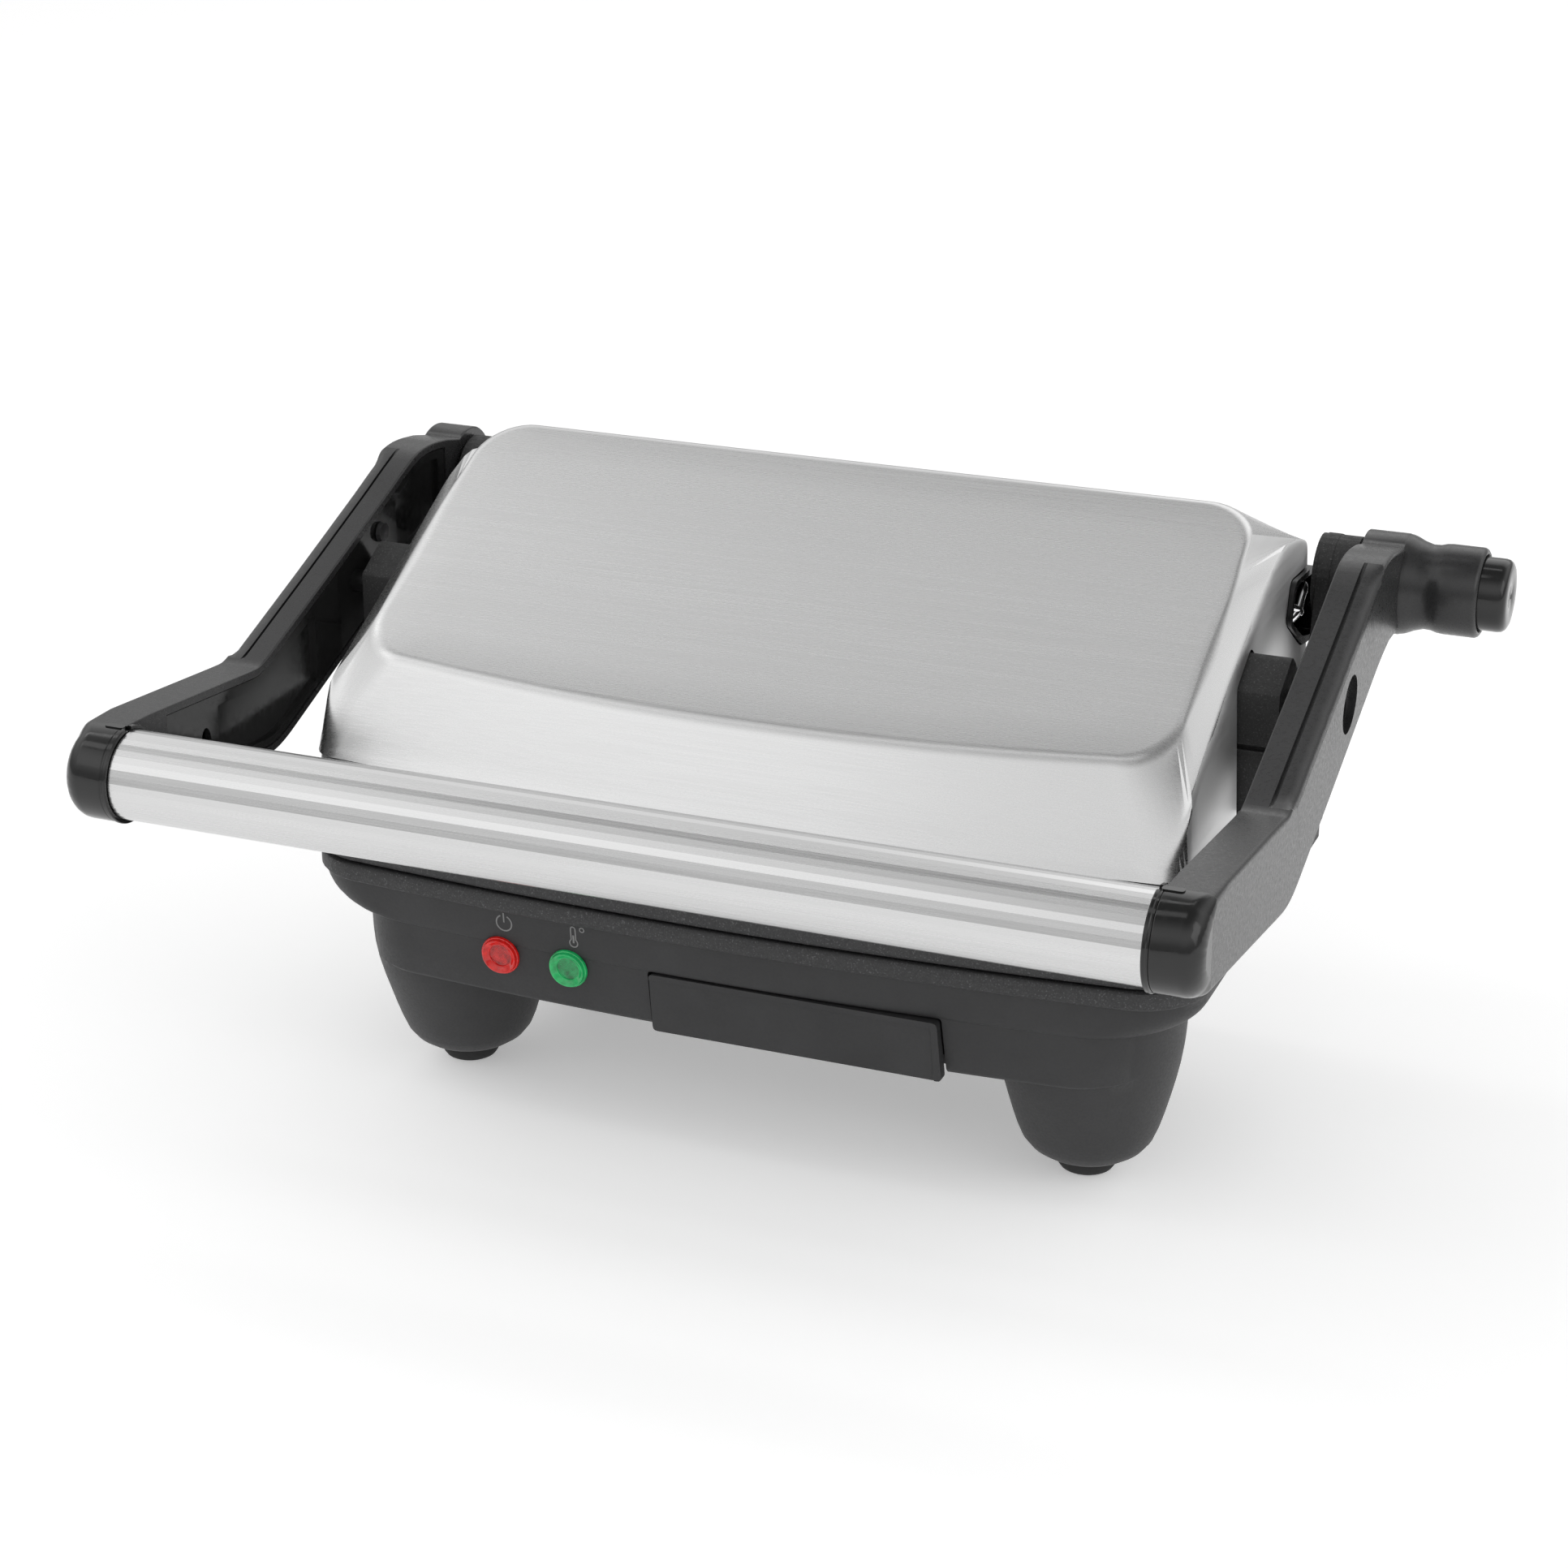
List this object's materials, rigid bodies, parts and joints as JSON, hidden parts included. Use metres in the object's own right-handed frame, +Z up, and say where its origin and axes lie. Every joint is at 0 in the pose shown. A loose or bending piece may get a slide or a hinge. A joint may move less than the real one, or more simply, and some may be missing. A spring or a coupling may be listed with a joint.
{
  "type": "panini press",
  "caption": "Contact grill with a floating lid carried by two hinged arms, a full-width steel handle bar, a side release button and a front drip tray.",
  "frame": {"origin": "centre of the bounding box's bottom face, on the table under the closed press", "axes": "+X along the handle bar towards the release button, +Y from the handle bar to the hinge, +Z up"},
  "size_m": [0.314, 0.2158, 0.1615],
  "materials": {
    "casing_plastic": "matte dark grey moulding with a fine grain",
    "textured_plastic": "coarse-grained black moulding",
    "satin_plastic": "satin black moulding",
    "brushed_steel": "stainless sheet brushed across its width",
    "bar_steel": "bright satin stainless tube",
    "chrome_wire": "bright plated wire",
    "zinc_steel": "zinc-plated steel",
    "aluminised_sheet": "mill-finish sheet",
    "coated_casting": "black non-stick coating on a casting",
    "heater_sheath": "heat-darkened steel sheath",
    "rubber_foot": "matte black rubber",
    "ceramic_block": "unglazed off-white ceramic",
    "lamp_glass": "clear lamp glass",
    "red_lens": "translucent red, ribbed behind",
    "green_lens": "translucent green, ribbed behind"
  },
  "bodies": {
    "base": {"base_housing": "casing_plastic", "base_bottom_cover": "casing_plastic", "cover_screw_1": "zinc_steel", "cover_screw_2": "zinc_steel", "cover_screw_3": "zinc_steel", "cover_screw_4": "zinc_steel", "left_hinge_post": "textured_plastic", "right_hinge_post": "textured_plastic", "left_hinge_pin": "zinc_steel", "right_hinge_pin": "zinc_steel", "front_left_foot": "rubber_foot", "front_right_foot": "rubber_foot", "rear_left_foot": "rubber_foot", "rear_right_foot": "rubber_foot", "lower_grill_plate": "coated_casting", "lower_heating_element": "heater_sheath", "lower_heat_shield": "aluminised_sheet", "thermostat": "zinc_steel", "thermal_fuse": "zinc_steel", "terminal_block": "ceramic_block", "power_lamp_lens": "red_lens", "ready_lamp_lens": "green_lens", "power_lamp_bulb": "lamp_glass", "ready_lamp_bulb": "lamp_glass", "cord_gland": "rubber_foot"},
    "drip_tray": {"drip_tray": "casing_plastic"},
    "arms": {"left_arm": "satin_plastic", "right_arm": "satin_plastic", "left_arm_cover": "satin_plastic", "right_arm_cover": "satin_plastic", "left_arm_screw_front": "zinc_steel", "left_arm_screw_rear": "zinc_steel", "right_arm_screw_front": "zinc_steel", "right_arm_screw_rear": "zinc_steel", "handle_bar": "bar_steel", "handle_core": "satin_plastic", "left_pivot_pin": "zinc_steel", "right_pivot_pin": "zinc_steel", "button_spring": "zinc_steel"},
    "release_button": {"release_button": "satin_plastic"},
    "lid": {"lid_cover": "brushed_steel", "lid_frame": "textured_plastic", "upper_grill_plate": "coated_casting", "upper_heating_element": "heater_sheath", "upper_heat_shield": "aluminised_sheet", "left_pivot_block": "textured_plastic", "right_pivot_block": "textured_plastic", "left_slot_bezel": "satin_plastic", "right_slot_bezel": "satin_plastic", "left_balance_spring": "chrome_wire", "right_balance_spring": "chrome_wire"}
  },
  "joints": [
    {"name": "arms_hinge", "type": "hinge", "parent": "base", "child": "arms", "pos_m": [-0.01355, 0.09445, 0.136], "axis": [-1, 0, 0], "range_deg": [0, 105]},
    {"name": "lid_float", "type": "hinge", "parent": "arms", "child": "lid", "pos_m": [-0.01355, 0.03145, 0.122], "axis": [-1, 0, 0], "range_deg": [-8.5, 0]},
    {"name": "button_press", "type": "slide", "parent": "arms", "child": "release_button", "axis": [-1, 0, 0], "range_m": [0, 0.004], "stiffness_N_per_m": 300, "deforming": ["button_spring"]},
    {"name": "drip_tray_slide", "type": "slide", "parent": "base", "child": "drip_tray", "axis": [0, -1, 0], "range_m": [0, 0.055]}
  ],
  "couplings": [
    {"joint": "lid_float", "follows": "arms_hinge", "ratio": -0.08}
  ]
}
